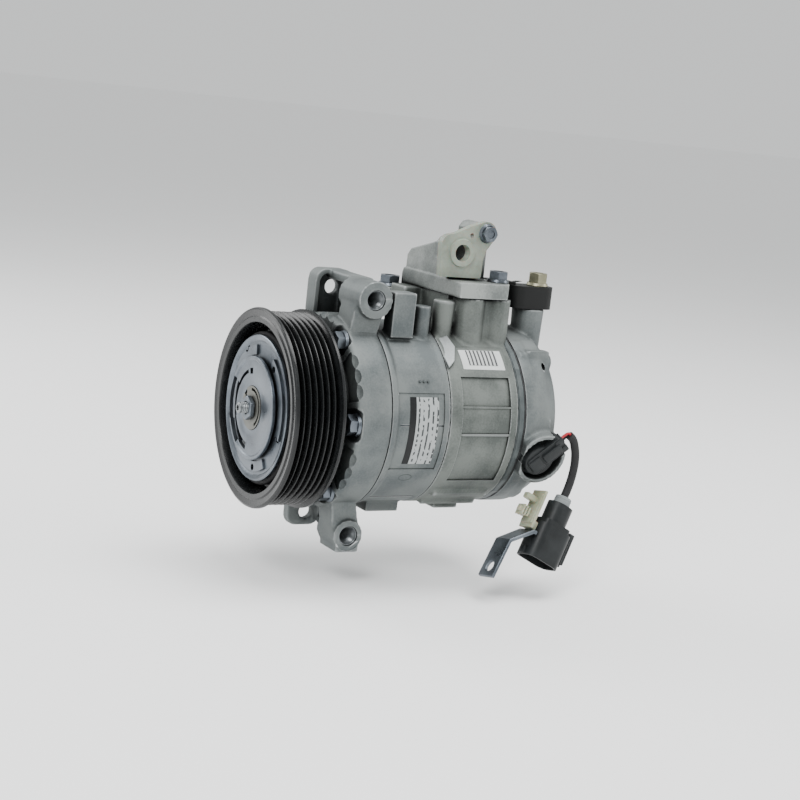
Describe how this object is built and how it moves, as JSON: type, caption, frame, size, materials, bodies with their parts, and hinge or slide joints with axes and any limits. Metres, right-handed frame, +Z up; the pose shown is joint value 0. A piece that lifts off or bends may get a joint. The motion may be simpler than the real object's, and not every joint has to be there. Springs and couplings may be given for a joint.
{
  "type": "automotive ac compressor",
  "caption": "Belt-driven swash-plate air-conditioning compressor with ribbed pulley, crosswise mounting ears, top manifold and a short valve lead.",
  "frame": {"origin": "centre of the engine bracket interface: on the shaft axis, midway along Y between the two mounting screw lines and midway along X between the ear faces", "axes": "+Y along the shaft from the pulley to the rear head, +Z up through the manifold, +X towards the side with the labels and the valve lead"},
  "size_m": [0.125, 0.1919, 0.1948],
  "materials": {
    "cast_aluminium": "die-cast, bead-blasted, satin",
    "machined_steel": "turned, satin",
    "zinc_steel": "zinc plated, satin",
    "valve_steel": "ground",
    "gasket": "coated sheet, matt",
    "pulley_black": "black phenolic resin, semi-gloss",
    "black_rubber": "matt rubber",
    "black_nylon": "glass-filled nylon",
    "black_sleeve": "vinyl sleeve",
    "grey_boot": "soft grey boot",
    "red_seal": "silicone",
    "white_nylon": "unfilled nylon, slightly translucent",
    "clip_nylon": "unfilled nylon",
    "alloy_wear": "hard-coated",
    "cage_resin": "bearing cage resin and balls",
    "spring_steel": "blackened"
  },
  "bodies": {
    "housing": {"front_housing": "cast_aluminium", "crankcase_housing": "cast_aluminium", "cylinder_block": "cast_aluminium", "suction_reed_plate": "valve_steel", "valve_plate": "valve_steel", "head_gasket": "gasket", "rear_housing": "cast_aluminium", "through_bolt_1": "zinc_steel", "through_bolt_2": "zinc_steel", "through_bolt_3": "zinc_steel", "through_bolt_4": "zinc_steel", "through_bolt_5": "zinc_steel", "through_bolt_6": "zinc_steel", "top_ear_bush": "machined_steel", "low_ear_bush": "machined_steel", "shaft_seal": "black_rubber", "front_shaft_bearing": "machined_steel", "rear_shaft_bearing": "machined_steel", "bearing_inner_ring": "machined_steel", "bearing_snap_ring": "spring_steel", "control_valve_body": "machined_steel", "valve_plug": "black_nylon", "pigtail_lead": "black_sleeve", "cable_collar": "grey_boot", "lead_connector": "black_nylon", "connector_seal": "red_seal", "cable_clip": "clip_nylon", "connector_bracket": "zinc_steel", "manifold_block": "cast_aluminium", "port_cover": "white_nylon", "port_cover_bolt": "zinc_steel", "manifold_bolt_1": "zinc_steel", "manifold_bolt_2": "zinc_steel", "manifold_bolt_3": "zinc_steel", "rear_port_cap": "black_rubber", "rear_port_bolt": "zinc_steel"},
    "rotor": {"drive_shaft": "machined_steel", "lug_plate": "machined_steel", "hub": "machined_steel", "hub_plate": "zinc_steel", "inner_plate": "zinc_steel", "shaft_nut": "zinc_steel", "damper_ring": "black_rubber", "pulley": "pulley_black", "bearing_outer_ring": "machined_steel"},
    "ball_row": {"ball_cage": "cage_resin"},
    "swash": {"swash_plate": "alloy_wear"},
    "valve_spool": {"control_valve_plunger": "machined_steel"},
    "piston_body_1": {"piston_1": "alloy_wear"},
    "piston_body_2": {"piston_2": "alloy_wear"},
    "piston_body_3": {"piston_3": "alloy_wear"},
    "piston_body_4": {"piston_4": "alloy_wear"},
    "piston_body_5": {"piston_5": "alloy_wear"},
    "piston_body_6": {"piston_6": "alloy_wear"}
  },
  "joints": [
    {"name": "shaft_spin", "type": "hinge", "parent": "housing", "child": "rotor", "pos_m": [0, 0, 0], "axis": [0, 1, 0], "continuous": true},
    {"name": "ball_row_spin", "type": "hinge", "parent": "housing", "child": "ball_row", "pos_m": [0, 0, 0], "axis": [0, 1, 0], "continuous": true},
    {"name": "swash_tilt", "type": "hinge", "parent": "housing", "child": "swash", "pos_m": [0.01576, 0.032, 0.02843], "axis": [-0.8746, 0, 0.4848], "range_deg": [0, 19], "stiffness_Nm_per_rad": 6, "springref_deg": -5.73},
    {"name": "piston_slide_1", "type": "slide", "parent": "housing", "child": "piston_body_1", "axis": [0, -1, 0], "range_m": [0, 0.00149]},
    {"name": "piston_slide_2", "type": "slide", "parent": "housing", "child": "piston_body_2", "axis": [0, -1, 0], "range_m": [0, 0.00149]},
    {"name": "piston_slide_3", "type": "slide", "parent": "housing", "child": "piston_body_3", "axis": [0, -1, 0], "range_m": [0, 0.0111]},
    {"name": "piston_slide_4", "type": "slide", "parent": "housing", "child": "piston_body_4", "axis": [0, -1, 0], "range_m": [0, 0.02072]},
    {"name": "piston_slide_5", "type": "slide", "parent": "housing", "child": "piston_body_5", "axis": [0, -1, 0], "range_m": [0, 0.02072]},
    {"name": "piston_slide_6", "type": "slide", "parent": "housing", "child": "piston_body_6", "axis": [0, -1, 0], "range_m": [0, 0.0111]},
    {"name": "valve_spool_slide", "type": "slide", "parent": "housing", "child": "valve_spool", "axis": [0.9511, 0, -0.309], "range_m": [0, 0.0006], "stiffness_N_per_m": 900, "springref_m": -0.001}
  ],
  "couplings": [
    {"joint": "ball_row_spin", "follows": "shaft_spin", "ratio": 0.5556},
    {"joint": "piston_slide_1", "follows": "swash_tilt", "m_per_rad": 0.004441},
    {"joint": "piston_slide_2", "follows": "swash_tilt", "m_per_rad": 0.004441},
    {"joint": "piston_slide_3", "follows": "swash_tilt", "m_per_rad": 0.03315},
    {"joint": "piston_slide_4", "follows": "swash_tilt", "m_per_rad": 0.061859},
    {"joint": "piston_slide_5", "follows": "swash_tilt", "m_per_rad": 0.061859},
    {"joint": "piston_slide_6", "follows": "swash_tilt", "m_per_rad": 0.03315}
  ]
}
